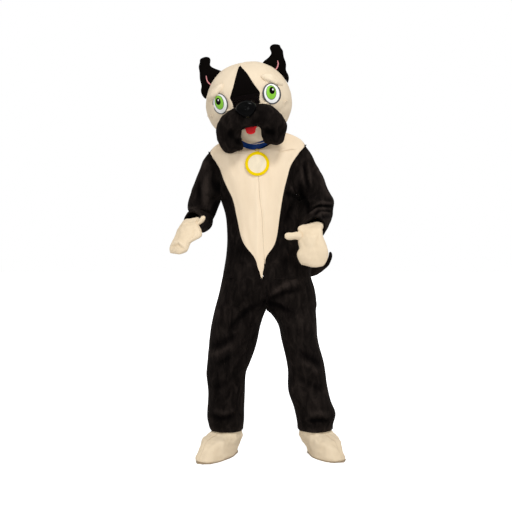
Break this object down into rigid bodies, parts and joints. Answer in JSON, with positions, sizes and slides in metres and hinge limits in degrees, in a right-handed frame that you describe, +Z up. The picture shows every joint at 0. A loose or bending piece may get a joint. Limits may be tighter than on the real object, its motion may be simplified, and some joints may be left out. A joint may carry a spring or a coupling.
{
  "type": "dog mascot costume",
  "caption": "Worn full-body dog costume: plush jumpsuit with a cream bib, big padded head with ears and muzzle, mitts, foot covers, tail and collar.",
  "frame": {"origin": "middle of the wearer's shoulders at the base of the neck, where the costume hangs", "axes": "+Z up, the costume faces -Y, and +X is the side on the right of someone who looks at its front"},
  "size_m": [0.7832, 0.5125, 1.8973],
  "materials": {
    "black_plush": "short warm-black velour pile",
    "cream_plush": "short cream plush pile",
    "pink_plush": "short pink plush",
    "blue_satin": "satin weave",
    "red_felt": "felt",
    "vision_mesh": "open black knitted mesh",
    "nose_vinyl": "gloss black",
    "eye_vinyl": "semi-gloss white with a green iris",
    "tag_yellow": "satin yellow",
    "tag_cream": "matt cream, bare",
    "sole_vinyl": "grained tan"
  },
  "bodies": {
    "root": {"bib_left": "cream_plush", "bib_right": "cream_plush", "front_left": "black_plush", "front_right": "black_plush", "back_left": "black_plush", "back_right": "black_plush", "sleeve_left": "black_plush", "sleeve_right": "black_plush", "tail": "black_plush", "mitt_palm_left": "cream_plush", "mitt_palm_right": "cream_plush", "mitt_back_left": "cream_plush", "mitt_back_right": "cream_plush", "mitt_thumb_left": "cream_plush", "mitt_thumb_right": "cream_plush", "foot_outer_left": "cream_plush", "foot_outer_right": "cream_plush", "foot_inner_left": "cream_plush", "foot_inner_right": "cream_plush", "foot_sole_left": "sole_vinyl", "foot_sole_right": "sole_vinyl", "head_face_left": "cream_plush", "head_face_right": "cream_plush", "head_back_left": "cream_plush", "head_back_right": "cream_plush", "head_neck": "cream_plush", "head_blaze": "black_plush", "head_vision_mesh": "vision_mesh", "brow_left": "cream_plush", "brow_right": "cream_plush", "eye_left": "eye_vinyl", "eye_right": "eye_vinyl", "muzzle": "black_plush", "nose": "nose_vinyl", "tongue": "red_felt", "ear_left": "black_plush", "ear_right": "black_plush", "ear_lining_left": "pink_plush", "ear_lining_right": "pink_plush", "collar": "blue_satin", "tag_rim": "tag_yellow", "tag_face": "tag_cream", "tag_link": "tag_yellow"}
  },
  "joints": []
}
